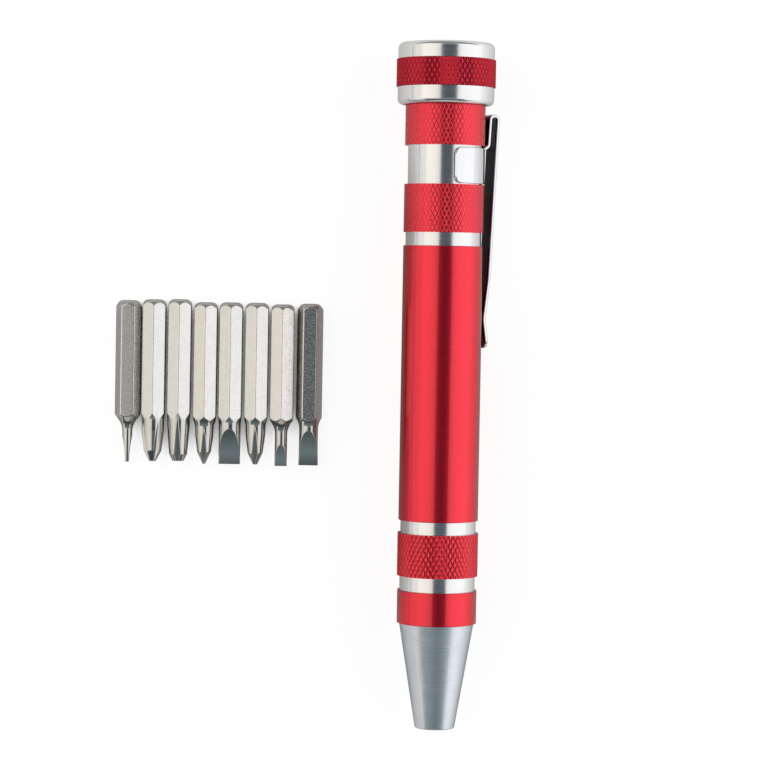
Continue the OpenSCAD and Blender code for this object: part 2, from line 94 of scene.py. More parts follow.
def turned(name, outline, body, node, material, segments=192):
    """A piece turned about the driver's axis from a closed outline of (r, height, rounding)."""
    rows = softened(outline)
    points, faces, index = [], [], []
    for r, height in rows:
        if r < 1e-6:
            index.append([len(points)] * segments)
            points.append(LAID @ Vector((0, 0, height)))
            continue
        index.append([len(points) + k for k in range(segments)])
        for k in range(segments):
            a = 2 * math.pi * k / segments
            points.append(LAID @ Vector((r * math.cos(a), r * math.sin(a), height)))
    for i in range(len(rows)):
        low, high = index[i], index[(i + 1) % len(rows)]
        for k in range(segments):
            corners = [low[k], low[(k + 1) % segments], high[(k + 1) % segments], high[k]]
            face = [c for n, c in enumerate(corners) if c not in corners[:n]]
            if len(face) > 2:
                faces.append(face)
    piece = mesh_object(name, points, faces)
    piece.data.materials.append(material)
    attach(piece, body)
    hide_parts(node)
    return piece


def material_nodes(name):
    material = bpy.data.materials.new(name)
    material.use_nodes = True
    return material, material.node_tree, material.node_tree.nodes["Principled BSDF"]


def add(tree, kind, inputs=(), **settings):
    """A shader or geometry node with its settings, and with values or links put in its inputs."""
    made = tree.nodes.new(kind)
    for key, value in settings.items():
        setattr(made, key, value)
    for key, value in dict(inputs).items():
        if isinstance(value, bpy.types.NodeSocket):
            tree.links.new(value, made.inputs[key])
        else:
            made.inputs[key].default_value = value
    return made


def upright_coordinates(tree, scale=(1, 1, 1)):
    """Object coordinates turned so that the driver's axis is Z, and then stretched."""
    where = add(tree, "ShaderNodeTexCoord").outputs["Object"]
    stood = add(tree, "ShaderNodeMapping", {
        "Vector": where,
        "Location": (DRIVER_X * MM, NOSE_Y * MM, NOSE_HEIGHT * MM),
        "Rotation": (LIE_ANGLE - math.pi / 2, 0, 0),
    }, vector_type="TEXTURE")
    return add(tree, "ShaderNodeMapping", {"Vector": stood.outputs[0], "Scale": scale}).outputs[0]


def spread(tree, factor, low, high, from_low=0.3, from_high=0.7):
    """A factor's range, which for a noise is about 0.3 to 0.7, mapped to low and high."""
    return add(tree, "ShaderNodeMapRange", {
        "Value": factor, "From Min": from_low, "From Max": from_high, "To Min": low, "To Max": high,
    }).outputs["Result"]


def noise(tree, vector, scale, detail, roughness=0.5):
    return add(tree, "ShaderNodeTexNoise", {
        "Vector": vector, "Scale": scale, "Detail": detail, "Roughness": roughness,
    }).outputs["Fac"]


def colour_mix(tree, factor, first, second, blend_type="MIX"):
    """Two colours, each given as (red, green, blue) or as a link, mixed by a factor."""
    first, second = (c if isinstance(c, bpy.types.NodeSocket) else (*c, 1) for c in (first, second))
    return add(tree, "ShaderNodeMix", {
        "Factor": factor, 6: first, 7: second,
    }, data_type="RGBA", blend_type=blend_type).outputs[2]


def in_relief(tree, shader, heights, depth):
    """Gives a finish relief from a pattern of heights, at a depth in millimetres."""
    bump = add(tree, "ShaderNodeBump", {"Height": heights, "Strength": 1.0, "Distance": depth * MM})
    tree.links.new(bump.outputs["Normal"], shader.inputs["Normal"])


def turned_metal(name, colour, tint, rough_low, rough_high, line_height, line_pitch=1.0):
    """Bare metal off the lathe: fine lines run round the axis, and its colour is faintly clouded."""
    material, tree, shader = material_nodes(name)
    hooped = upright_coordinates(tree, (30, 30, 5200 / line_pitch))
    lines = noise(tree, hooped, scale=1.0, detail=4.0, roughness=0.62)
    cloud = noise(tree, upright_coordinates(tree), scale=170.0, detail=3.0)
    tree.links.new(colour_mix(tree, spread(tree, cloud, 0, 1), colour, tint), shader.inputs["Base Color"])
    tree.links.new(spread(tree, lines, rough_low, rough_high), shader.inputs["Roughness"])
    in_relief(tree, shader, lines, line_height)
    shader.inputs["Metallic"].default_value = 1.0
    return material


BARE = turned_metal("bare_aluminium", (0.93, 0.925, 0.915), (0.89, 0.89, 0.885),
                    rough_low=0.13, rough_high=0.24, line_height=0.0016)
tube = turned("barrel_tube_turned", [
    (STORE_R, NOSE_LEN, 0), (TUBE_R, NOSE_LEN, 0.05), (TUBE_R, CLIP_GROOVE_AT, 0),
    (CLIP_GROOVE_R, CLIP_GROOVE_AT, 0), (CLIP_GROOVE_R, TOP_RING_AT, 0), (TUBE_R, TOP_RING_AT, 0),
    (TUBE_R, NECK_AT, 0.08), (NECK_R, NECK_AT, 0.1), (NECK_R, THREAD_SEAT_LOW, 0.1),
    (THREAD_SEAT_R, THREAD_SEAT_LOW, 0), (THREAD_SEAT_R, THREAD_SEAT_TOP, 0), (NECK_R, THREAD_SEAT_TOP, 0.1),
    (NECK_R, NECK_TOP, 0.2), (STORE_R, NECK_TOP, 0.3),
], "driver", "barrel_tube", BARE)

# Sleeve and front ring. Thin aluminium tubes, bead blasted and dyed red in the anodising bath.
# They are pushed over the barrel and stand 0.4 mm above its grooves.
SLEEVE_R, RING_BORE_R = 6.925, 6.57


def maths(tree, operation, *values):
    return add(tree, "ShaderNodeMath", dict(enumerate(values)), operation=operation).outputs[0]


def anodised(name, groove, crest, rough, grain_height, crest_r=SLEEVE_R, depth=0.05, coat=1.0, metal=1.0):
    """Dyed aluminium, with a painted highlight: the colour is paler and pinker towards the crests of the radius given,
    and the deeper red in the grooves.
    """
    material, tree, shader = material_nodes(name)
    grain = noise(tree, upright_coordinates(tree, (1, 1, 1.6)), scale=2600.0, detail=3.0, roughness=0.6)
    lines = noise(tree, upright_coordinates(tree, (40, 40, 2600)), scale=1.0, detail=2.0)
    cloud = noise(tree, upright_coordinates(tree), scale=210.0, detail=4.0)
    stood = add(tree, "ShaderNodeSeparateXYZ", {0: upright_coordinates(tree)}).outputs
    flat = add(tree, "ShaderNodeCombineXYZ", {"X": stood["X"], "Y": stood["Y"]})
    out = add(tree, "ShaderNodeVectorMath", {0: flat.outputs[0]}, operation="LENGTH").outputs["Value"]
    # Painted highlight: towards the outer radius the colour turns to the crest's paler, pinker one
    painted_crest_highlight = spread(tree, out, 0.0, 0.85, (crest_r - depth) * MM, crest_r * MM)
    highlight_and_cloud = maths(tree, "ADD", painted_crest_highlight, spread(tree, cloud, 0.0, 0.15))
    tree.links.new(colour_mix(tree, highlight_and_cloud, groove, crest), shader.inputs["Base Color"])
    tree.links.new(spread(tree, grain, rough - 0.04, rough + 0.05), shader.inputs["Roughness"])
    in_relief(tree, shader, maths(tree, "ADD", grain, lines), grain_height)
    shader.inputs["Metallic"].default_value = metal
    shader.inputs["Specular Tint"].default_value = (0.14, 0.07, 0.08, 1)
    shader.inputs["Coat Weight"].default_value = coat
    shader.inputs["Coat Roughness"].default_value = 0.1
    return material


RED = anodised("red_anodised", (0.9, 0.011, 0.029), (0.97, 0.018, 0.044), rough=0.3, grain_height=0.003)
for name, node, start, length in (
    ("front_ring_turned", "front_ring", NOSE_LEN, 5.8),
    ("grip_sleeve_turned", "grip_sleeve", 36.35, 47.65),
):
    turned(name, [
        (RING_BORE_R, start, 0), (SLEEVE_R, start, 0.12), (SLEEVE_R, start + length, 0.12),
        (RING_BORE_R, start + length, 0),
    ], "driver", node, RED)

# Knurled rings and the cap's band. The same red aluminium, pressed between two cross-hatched wheels.
# The wheels leave rows of pyramids: shallow and fine on the upper rings, sharp on the grip ring and the cap.
GRIP_RING_R, CAP_BAND_R, CAP_BAND_AT, CELL_STEPS = 7.025, 8.6, 111.4, 12


def knurl_tree():
    """A grid bent round the axis, closed through its bore, with two crossing sets of V grooves."""
    tree = bpy.data.node_groups.new("knurling", "GeometryNodeTree")
    for name, kind in (
        ("Radius", "NodeSocketFloat"), ("Bore", "NodeSocketFloat"), ("Start", "NodeSocketFloat"),
        ("Length", "NodeSocketFloat"), ("Depth", "NodeSocketFloat"), ("Crest", "NodeSocketFloat"),
        ("Diamonds round", "NodeSocketInt"), ("Diamonds along", "NodeSocketFloat"),
        ("Columns", "NodeSocketInt"), ("Rows", "NodeSocketInt"), ("Crossed", "NodeSocketFloat"),
        ("Material", "NodeSocketMaterial"),
    ):
        tree.interface.new_socket(name, in_out="INPUT", socket_type=kind)
    tree.interface.new_socket("Geometry", in_out="OUTPUT", socket_type="NodeSocketGeometry")
    given = add(tree, "NodeGroupInput").outputs

    def calc(operation, *values):
        return maths(tree, operation, *values)

    # The grid has one row before the knurled face and two after it, which close the ring through its bore
    grid = add(tree, "GeometryNodeMeshGrid", {
        "Size X": 1.0, "Size Y": 1.0,
        "Vertices X": calc("ADD", given["Columns"], 1.0), "Vertices Y": calc("ADD", given["Rows"], 4.0),
    })
    # Every second face is cut along its other diagonal, so the edges run along both sets of grooves
    face, tall = add(tree, "GeometryNodeInputIndex").outputs[0], calc("ADD", given["Rows"], 3.0)
    step = calc("ADD", calc("FLOOR", calc("DIVIDE", calc("ADD", face, 0.5), tall)), calc("MODULO", face, tall))
    odd = calc("GREATER_THAN", calc("MODULO", step, 2.0), 0.5)
    cut = add(tree, "GeometryNodeTriangulate", {"Mesh": grid.outputs["Mesh"], "Selection": odd}, quad_method="FIXED")
    cut = add(tree, "GeometryNodeTriangulate", {"Mesh": cut.outputs[0]}, quad_method="FIXED_ALTERNATE")
    at = add(tree, "ShaderNodeSeparateXYZ", {0: add(tree, "GeometryNodeInputPosition").outputs[0]}).outputs
    around = calc("ADD", at["X"], 0.5)
    row = calc("SUBTRACT", calc("MULTIPLY", calc("ADD", at["Y"], 0.5), calc("ADD", given["Rows"], 3.0)), 1.0)
    along = calc("DIVIDE", calc("MINIMUM", calc("MAXIMUM", row, 0.0), given["Rows"]), given["Rows"])
    inside = calc("MAXIMUM", calc("LESS_THAN", row, -0.5), calc("GREATER_THAN", row, calc("ADD", given["Rows"], 0.5)))
    closing = calc("GREATER_THAN", row, calc("ADD", given["Rows"], 1.5))
    high = calc("MULTIPLY", calc("MULTIPLY", along, calc("SUBTRACT", 1.0, closing)), given["Length"])
    turns, climb = calc("MULTIPLY", around, given["Diamonds round"]), calc("MULTIPLY", along, given["Diamonds along"])

    def ridge(phase):
        return calc("ABSOLUTE", calc("SUBTRACT", calc("MULTIPLY", calc("FRACT", phase), 2.0), 1.0))

    # The two sets of grooves lean to the left and to the right. The added whole turns keep the phase positive
    left = calc("SUBTRACT", 1.0, ridge(calc("ADD", turns, climb)))
    left = calc("MAXIMUM", left, calc("SUBTRACT", 1.0, given["Crossed"]))
    right = calc("SUBTRACT", 1.0, ridge(calc("ADD", calc("SUBTRACT", turns, climb), 1000.0)))
    peak = calc("MINIMUM", calc("DIVIDE", calc("MINIMUM", left, right), given["Crest"]), 1.0)
    sunk = calc("MULTIPLY", calc("SUBTRACT", 1.0, peak), given["Depth"])
    outer = calc("SUBTRACT", given["Radius"], sunk)
    r = calc("ADD", calc("MULTIPLY", outer, calc("SUBTRACT", 1.0, inside)), calc("MULTIPLY", given["Bore"], inside))
    angle = calc("MULTIPLY", around, 2 * math.pi)
    place = add(tree, "ShaderNodeCombineXYZ", {
        "X": calc("MULTIPLY", r, calc("COSINE", angle)), "Y": calc("MULTIPLY", r, calc("SINE", angle)),
        "Z": calc("ADD", given["Start"], high),
    })
    bent = add(tree, "GeometryNodeSetPosition", {"Geometry": cut.outputs[0], "Position": place.outputs[0]})
    closed = add(tree, "GeometryNodeMergeByDistance", {"Geometry": bent.outputs[0], "Distance": 1e-6})
    real = add(tree, "GeometryNodeRealizeInstances", {"Geometry": closed.outputs[0]})
    finished = add(tree, "GeometryNodeSetMaterial", {"Geometry": real.outputs[0], "Material": given["Material"]})
    add(tree, "NodeGroupOutput", {"Geometry": finished.outputs[0]})
    return tree


def grown(name, tree, values):
    """The plain mesh that a geometry tree makes from these values."""
    seed = bpy.data.objects.new(name, bpy.data.meshes.new(name))
    bpy.context.scene.collection.objects.link(seed)
    modifier = seed.modifiers.new("rule", "NODES")
    modifier.node_group = tree
    for item in tree.interface.items_tree:
        if item.in_out == "INPUT":
            modifier[item.identifier] = values[item.name]
    bpy.context.view_layer.update()
    result = bpy.data.meshes.new_from_object(seed.evaluated_get(bpy.context.evaluated_depsgraph_get()))
    seed.modifiers.clear()
    seed.data = result
    result.name = name
    return seed


LAID_MM = LAID.copy()
LAID_MM.translation *= MM


def laid_down(piece):
    """Lays a piece that was grown upright in metres along the driver, and shades it smooth."""
    piece.data.transform(LAID_MM)
    piece.data.polygons.foreach_set("use_smooth", [True] * len(piece.data.polygons))


KNURL = knurl_tree()
# The second colour of each finish is the crests' painted highlight, paler and pinker than the grooves' red
LIGHT_KNURLED = anodised(
    "red_light_knurled", (0.85, 0.004, 0.014), (1.0, 0.038, 0.07), rough=0.26, grain_height=0.002,
    crest_r=SLEEVE_R, depth=0.03, coat=0.9, metal=0.84)
SHARP_KNURLED = anodised(
    "red_sharp_knurled", (0.74, 0.004, 0.012), (1.0, 0.048, 0.082), rough=0.26, grain_height=0.002,
    crest_r=GRIP_RING_R, depth=0.085, coat=0.7, metal=0.84)
CRIMSON = anodised(
    "crimson_knurled", (0.42, 0.002, 0.01), (0.66, 0.022, 0.052), rough=0.26, grain_height=0.002,
    crest_r=CAP_BAND_R, depth=0.11, coat=0.35, metal=0.86)
# Each row: piece, node, body. Start, length, radius, bore. Diamond's width, lean in degrees, depth, steps of slope
for name, node, body, start, length, radius, bore, pitch, lean, depth, slope, finish in (
    ("middle_ring_knurled", "middle_knurled_ring", "driver",
     86.3, 8.3, SLEEVE_R, RING_BORE_R, 0.8, 26.5, 0.03, 4, LIGHT_KNURLED),
    ("top_ring_knurled", "top_knurled_ring", "driver",
     TOP_RING_AT, 6.95, SLEEVE_R, RING_BORE_R, 0.8, 26.5, 0.03, 4, LIGHT_KNURLED),
    ("grip_ring_knurled", "grip_knurled_ring", "driver",
     26.7, 7.45, GRIP_RING_R, RING_BORE_R, 0.9, 29, 0.085, 8, SHARP_KNURLED),
    ("cap_band_knurled", "cap_knurled_band", "cap",
     CAP_BAND_AT, 4.73, CAP_BAND_R, 7.92, 0.92, 29.5, 0.11, 8, CRIMSON),
):
    diamonds = round(2 * math.pi * radius / pitch)
    rows = round(length * math.tan(math.radians(lean)) / pitch * CELL_STEPS)
    piece = grown(name, KNURL, {
        "Radius": radius * MM, "Bore": bore * MM, "Start": start * MM, "Length": length * MM, "Depth": depth * MM,
        "Crest": slope / CELL_STEPS, "Diamonds round": diamonds, "Diamonds along": rows / CELL_STEPS,
        "Columns": diamonds * CELL_STEPS, "Rows": rows, "Crossed": 1.0, "Material": finish,
    })
    laid_down(piece)
    piece.data.set_sharp_from_angle(angle=math.radians(8))
    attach(piece, body)
    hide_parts(node)

# Thread on the barrel's neck. Rolled into the bare tube, right handed, and hidden while the cap is on.
# The same rule as the knurling, with one set of grooves that climbs as far in a turn as the cap does.
THREAD_AT, THREAD_LEN, THREAD_RISE, THREAD_DEPTH = 109.05, 4.1, 6.1 / 6, 0.24
thread = grown("neck_thread", KNURL, {
    "Radius": NECK_R * MM, "Bore": (NECK_R - 0.4) * MM, "Start": THREAD_AT * MM, "Length": THREAD_LEN * MM,
    "Depth": THREAD_DEPTH * MM, "Crest": 0.8, "Diamonds round": 1, "Diamonds along": THREAD_LEN / THREAD_RISE,
    "Columns": 144, "Rows": 64, "Crossed": 0.0, "Material": BARE,
})
laid_down(thread)
joined = bmesh.new()
joined.from_mesh(tube.data)
joined.from_mesh(thread.data)
joined.to_mesh(tube.data)
joined.free()
bpy.data.objects.remove(thread)

# Nose. Solid aluminium, turned to a cone and left bare, with its lathe lines showing.
# It plugs into the tube and is drilled for the steel socket.
BRUSHED = turned_metal("brushed_aluminium", (0.83, 0.87, 0.91), (0.75, 0.79, 0.84),
                       rough_low=0.24, rough_high=0.42, line_height=0.006, line_pitch=1.3)
BRUSHED.node_tree.nodes["Principled BSDF"].inputs["Specular Tint"].default_value = (0.45, 0.45, 0.47, 1)
TIP_R, ROOT_R, PLUG_R, PLUG_END, SOCKET_R, SOCKET_END = 3.45, 6.5, 5.08, 24.4, 2.87, 15.02
turned("nose_cone_turned", [
    (SOCKET_R, 0, 0.1), (TIP_R, 0, 0.25), (ROOT_R, NOSE_LEN, 0.08), (PLUG_R, NOSE_LEN, 0), (PLUG_R, PLUG_END, 0.3),
    (0, PLUG_END, 0), (0, SOCKET_END, 0), (SOCKET_R, SOCKET_END, 0),
], "driver", "nose_cone", BRUSHED)

# Cap. Three turned pieces: a bare skirt, the knurled red band that sits on it, and a bare end plug.
# The skirt is threaded inside and draws down over the neck.
CAP_R, MOUTH_R, CAP_THREAD_R, BAND_SEAT_R, END_SPIGOT_R, CAP_ROUND = 8.35, 7.12, 6.06, 7.9, 6.04, 0.9
MOUTH, SEAL_SEAT, END_SPIGOT_AT, CAP_END_AT, CAP_END = NECK_AT + 0.05, NECK_AT + 0.05 + 1.12, 115.15, 116.15, 119
turned("cap_shell_turned", [
    (MOUTH_R, MOUTH, 0.05), (CAP_R, MOUTH, CAP_ROUND), (CAP_R, CAP_BAND_AT, 0.06), (BAND_SEAT_R, CAP_BAND_AT, 0),
    (BAND_SEAT_R, CAP_END_AT, 0), (CAP_THREAD_R, CAP_END_AT, 0), (CAP_THREAD_R, SEAL_SEAT, 0), (MOUTH_R, SEAL_SEAT, 0),
], "cap", "cap_shell", BARE)
turned("cap_end_plug_turned", [
    (0, END_SPIGOT_AT, 0), (END_SPIGOT_R, END_SPIGOT_AT, 0.1), (END_SPIGOT_R, CAP_END_AT, 0),
    (CAP_R, CAP_END_AT, 0.06), (CAP_R, CAP_END, CAP_ROUND), (0, CAP_END, 0),
], "cap", "cap_end_plug", BARE)

# Clip. One strip of spring steel, stamped, bent and chromed, with its edges tumbled round.
# A band grips the barrel's groove. A tongue rises from it, folds over in a loop and comes down as the sprung arm.
CLIP_TURN, CLIP_T, CLIP_ROUND, BAND_MID_R = math.radians(22), 0.55, 0.17, 6.655
BAND_LOW, BAND_TOP, CLIP_TOP, CLIP_TIP, ROOT_W, TIP_W = 94.75, 100.95, 106.95, 66.35, 4.4, 3.5
# The tongue's foot lies in the band, a little thinner than it, and straightens over the height given
FOOT_LOW, FOOT_TOP, FOOT_STRAIGHT, FOOT_SUNK, FOOT_R, TONGUE_R = 99.6, 100.6, 1.2, 0.03, 6.7, 7.72
TIP_END_W, BAND_WRAP, BAND_CORNER = 0.56, math.radians(97.5), 1.1


def bent_path(corners, arc_steps=10, longest=0.6):
    """Points along a path whose corners, given as (r, height, bend radius), are bent round."""
    points = [np.array(corners[0][:2])]
    for i in range(1, len(corners) - 1):
        at, bend = np.array(corners[i][:2]), corners[i][2]
        before, after = np.array(corners[i - 1][:2]) - at, np.array(corners[i + 1][:2]) - at
        u, v = before / np.linalg.norm(before), after / np.linalg.norm(after)
        half = math.acos(float(u @ v)) / 2
        centre = at + (u + v) / np.linalg.norm(u + v) * bend / math.sin(half)
        a, b = at + u * bend / math.tan(half) - centre, at + v * bend / math.tan(half) - centre
        swing = math.pi - 2 * half
        for k in range(arc_steps + 1):
            share = k / arc_steps
            points.append(centre + (a * math.sin((1 - share) * swing) + b * math.sin(share * swing)) / math.sin(swing))
    points.append(np.array(corners[-1][:2]))
    path = [points[0]]
    for point in points[1:]:
        last = path[-1]
        steps = max(1, math.ceil(np.linalg.norm(point - last) / longest))
        path += [last + (point - last) * k / steps for k in range(1, steps + 1)]
    return path


def strip_section(half_w, half_t, rounding, across=10, corner=3):
    """A rounded rectangle's points: (across the strip, through its thickness)."""
    rounding = min(rounding, half_w * 0.98, half_t * 0.98)
    loop = []
    for side_w, side_t, first in ((1, -1, -90), (1, 1, 0), (-1, 1, 90), (-1, -1, 180)):
        for k in range(corner + 1):
            a = math.radians(first + 90 * k / corner)
            loop.append((side_w * (half_w - rounding) + rounding * math.cos(a),
                         side_t * (half_t - rounding) + rounding * math.sin(a)))
        if side_w == side_t:
            flat = half_w - rounding
            loop.extend((side_w * flat * (1 - 2 * k / across), side_t * half_t) for k in range(1, across))
    return loop


def swept(name, rings, smooth_angle=40):
    """A closed mesh through rings of the same number of points."""
    count = len(rings[0])
    points = [point for ring in rings for point in ring]
    faces = [
        [i * count + k, i * count + (k + 1) % count, (i + 1) * count + (k + 1) % count, (i + 1) * count + k]
        for i in range(len(rings) - 1) for k in range(count)
    ]
    faces.append(list(range(count))[::-1])
    faces.append([(len(rings) - 1) * count + k for k in range(count)])
    return mesh_object(name, points, faces, smooth_angle)


def clip_point(r, height, aside, bend):
    """A point of the clip, aside of its middle line: bent round the barrel by the share bend, else flat."""
    angle = aside / BAND_MID_R
    out = r * math.cos(angle) * bend + r * (1 - bend)
    side = r * math.sin(angle) * bend + aside * (1 - bend)
    turn = Matrix.Rotation(CLIP_TURN, 4, "Z")
    return LAID @ turn @ Vector((out, side, height))


def eased(share):
    share = max(0.0, min(1.0, share))
    return share * share * (3 - 2 * share)


def ramped(tree, factor, stops):
    """A colour ramp through stops of (place, colour)."""
    ramp = add(tree, "ShaderNodeValToRGB", {"Fac": factor})
    while len(ramp.color_ramp.elements) < len(stops):
        ramp.color_ramp.elements.new(0.5)
    for element, (place, colour) in zip(ramp.color_ramp.elements, stops):
        element.position = place
        element.color = (*colour, 1)
    return ramp.outputs[0]


# The band: its section is swept round the barrel, and is less high at its round corners
half_wrap = BAND_WRAP * BAND_MID_R
places = [half_wrap - BAND_CORNER * (1 - math.cos(math.radians(a))) - 0.02 for a in range(84, -1, -12)]
places = [half_wrap * k / 40 * (1 - BAND_CORNER / half_wrap) for k in range(41)] + places
places = [-u for u in reversed(places)] + places[1:]
rings = []
for u in places:
    cut = max(0.0, abs(u) - half_wrap + BAND_CORNER)
    half_h = (BAND_TOP - BAND_LOW) / 2 - BAND_CORNER + math.sqrt(max(0.0, BAND_CORNER ** 2 - cut ** 2))
    ring = []
    for aside, through in strip_section(half_h, CLIP_T / 2, CLIP_ROUND):
        ring.append(clip_point(BAND_MID_R + through, (BAND_LOW + BAND_TOP) / 2 - aside, u, 1.0))
    rings.append(ring)
clip = swept("clip_bent", rings)

# The strip: tongue, loop, arm and round tip, with the tongue's foot bent round the barrel like the band
path = bent_path([
    (BAND_MID_R, FOOT_LOW, 0), (BAND_MID_R, 100.72, 0.5), (7.4, 101.35, 0.6),
    (7.7, CLIP_TOP - CLIP_T / 2, 0.68), (9.15, CLIP_TOP - CLIP_T / 2, 0.68),
    (8.05, CLIP_TIP + 12, 8.8), (7.26, CLIP_TIP + 5, 4.95), (8.0, CLIP_TIP + 0.03, 0),
])
tip_r = TIP_W / 2
spine, turned_over = [], False
for i, point in enumerate(path):
    along = path[min(i + 1, len(path) - 1)] - path[max(i - 1, 0)]
    along /= np.linalg.norm(along)
    turned_over = turned_over or along[1] < -0.5
    half_w = ROOT_W / 2
    if turned_over:
        share = max(0.0, (point[1] - CLIP_TIP - tip_r) / (CLIP_TOP - CLIP_TIP - tip_r))
        half_w = tip_r + (ROOT_W / 2 - tip_r) * share
    spine.append((point, along, half_w))
round_tip = []
for a in range(85, -1, -6):
    height = CLIP_TIP + tip_r * (1 - math.sin(math.radians(a)))
    round_tip.append((height, max(TIP_END_W / 2, tip_r * math.cos(math.radians(a)))))
body = [entry for entry in spine if entry[0][1] > CLIP_TIP + tip_r]
tip_path = np.array([entry[0] for entry in spine if entry[0][1] < CLIP_TIP + 8])[::-1]
end_along = spine[-1][1]
for height, half_w in reversed(round_tip):
    point = np.array([np.interp(height, tip_path[:, 1], tip_path[:, 0]), height])
    body.append((point, end_along, half_w))
rings = []
for point, along, half_w in body:
    normal = np.array([along[1], -along[0]])
    bend = 1 - eased((point[1] - FOOT_TOP) / FOOT_STRAIGHT) if along[1] > 0 and point[0] < TONGUE_R else 0.0
    thick = CLIP_T / 2 - (FOOT_SUNK if point[1] < FOOT_TOP and point[0] < FOOT_R else 0.0)
    ring = []
    for aside, through in strip_section(half_w, thick, CLIP_ROUND):
        spot = point + normal * through
        ring.append(clip_point(spot[0], spot[1], aside, bend))
    rings.append(ring)
strip = swept("clip_strip", rings)
joined = clip.modifiers.new("joined", "BOOLEAN")
joined.operation, joined.solver, joined.object = "UNION", "EXACT", strip
bpy.context.view_layer.update()
whole = bpy.data.meshes.new_from_object(clip.evaluated_get(bpy.context.evaluated_depsgraph_get()))
clip.modifiers.clear()
clip.data = whole
whole.name = "clip_bent"
bpy.data.objects.remove(strip)
edit = bmesh.new()
edit.from_mesh(whole)
bmesh.ops.remove_doubles(edit, verts=edit.verts, dist=0.002 * MM)
bmesh.ops.recalc_face_normals(edit, faces=edit.faces)
edit.to_mesh(whole)
edit.free()

# The plating's colour is painted light by which way each face turns: a painted shade makes the inner face dark and the
# outer edge's rounding grey, and the rest is bright.
# Each corner of the arm keeps how far it faces outwards, and the band keeps none of it
ARM_FROM_R = 7.15
outward = (clip_point(1, 0, 0, 0) - clip_point(0, 0, 0, 0)).normalized()
corners = np.empty(len(whole.loops), np.int32)
whole.loops.foreach_get("vertex_index", corners)
facing, spots = np.empty(len(corners) * 3, np.float32), np.empty(len(whole.vertices) * 3, np.float32)
whole.corner_normals.foreach_get("vector", facing)
whole.vertices.foreach_get("co", spots)
facing = facing.reshape(-1, 3) @ np.array(outward)
stand = np.array(LAID_MM.inverted())
stood = spots.reshape(-1, 3) @ stand[:3, :3].T + stand[:3, 3]
on_arm = np.hypot(stood[:, 0], stood[:, 1])[corners] > ARM_FROM_R * MM
kept = whole.attributes.new("facing", "FLOAT", "CORNER")
kept.data.foreach_set("value", np.where(on_arm, facing, 0).astype(np.float32))
CHROME = turned_metal("clip_chrome", (0.93, 0.935, 0.95), (0.9, 0.905, 0.92),
                      rough_low=0.05, rough_high=0.11, line_height=0.0004, line_pitch=3.0)
tree, shader = CHROME.node_tree, CHROME.node_tree.nodes["Principled BSDF"]
bright = shader.inputs["Base Color"].links[0].from_socket
out = add(tree, "ShaderNodeAttribute", attribute_type="GEOMETRY", attribute_name="facing").outputs["Fac"]
# Painted shade: dark where the arm faces inwards, grey over its outer rounding, bright between
painted_plating_light = ramped(tree, spread(tree, out, 0, 1, -1, 1), [
    (0.0, (0.05, 0.055, 0.065)), (0.1, (0.07, 0.075, 0.085)), (0.3, (0.8, 0.8, 0.82)), (0.4, (1, 1, 1)),
    (0.66, (1, 1, 1)), (0.78, (0.3, 0.31, 0.33)), (0.95, (0.35, 0.36, 0.38)), (0.99, (0.85, 0.85, 0.87)),
])
tree.links.new(colour_mix(tree, 1.0, bright, painted_plating_light, "MULTIPLY"), shader.inputs["Base Color"])
whole.materials.clear()
whole.materials.append(CHROME)
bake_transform(clip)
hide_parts("clip_band")
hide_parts("clip_arm")

# Bits. Eight hexagons of chrome-vanadium steel, nickel plated: turned to a neck and a point, then ground.
# They lie in a row on the table: the two outer ones on a flat, the others on a corner.
HEX_IN, HEX_OUT, BIT_LEN, FACE_AT, SWEEP = 2.0, 2.0 / math.cos(math.radians(30)), 28.4, 8.4, 3.4
BIT_TURNS, WHEEL_R, POINT_ANGLE, FAR_OUT = 360, 20, math.radians(26.5), 9.0
# The rounded back end: radius, and depth below the end
BACK = (2.02, 0.66), (1.87, 0.42), (1.66, 0.22), (1.35, 0.07), (1.0, 0)


def softer(a, b, width):
    """The lesser of two radii, with the edge between them rounded."""
    near = np.maximum(width - np.abs(a - b), 0) / width
    return np.minimum(a, b) - near * near * width / 4


def bit_outline(throat, shoulder, front, heights):
    """The radius of a bit's turned blank at each height: point, neck, swept shoulder and rounded back."""
    lean = math.radians(shoulder)
    sweep_out = SWEEP * (1 - math.cos(lean))
    if throat + sweep_out > HEX_OUT:
        lean = math.acos(1 - (HEX_OUT - throat) / SWEEP)
        cone = 0.0
    else:
        cone = (HEX_OUT - throat - sweep_out) / math.tan(lean)
    neck_end = FACE_AT - SWEEP * math.sin(lean) - cone
    known = list(front) + [(throat, neck_end)]
    for k in range(1, 13):
        a = lean * k / 12
        known.append((throat + SWEEP * (1 - math.cos(a)), neck_end + SWEEP * math.sin(a)))
    known += [(HEX_OUT, FACE_AT), (HEX_OUT + 0.5, FACE_AT + 0.5)]
    known += [(HEX_OUT + 0.5, BIT_LEN - 1.6), (HEX_OUT, BIT_LEN - 1.15)]
    known = np.array(known + [(r, BIT_LEN - below) for r, below in BACK])
    return np.interp(heights, known[:, 1], known[:, 0])


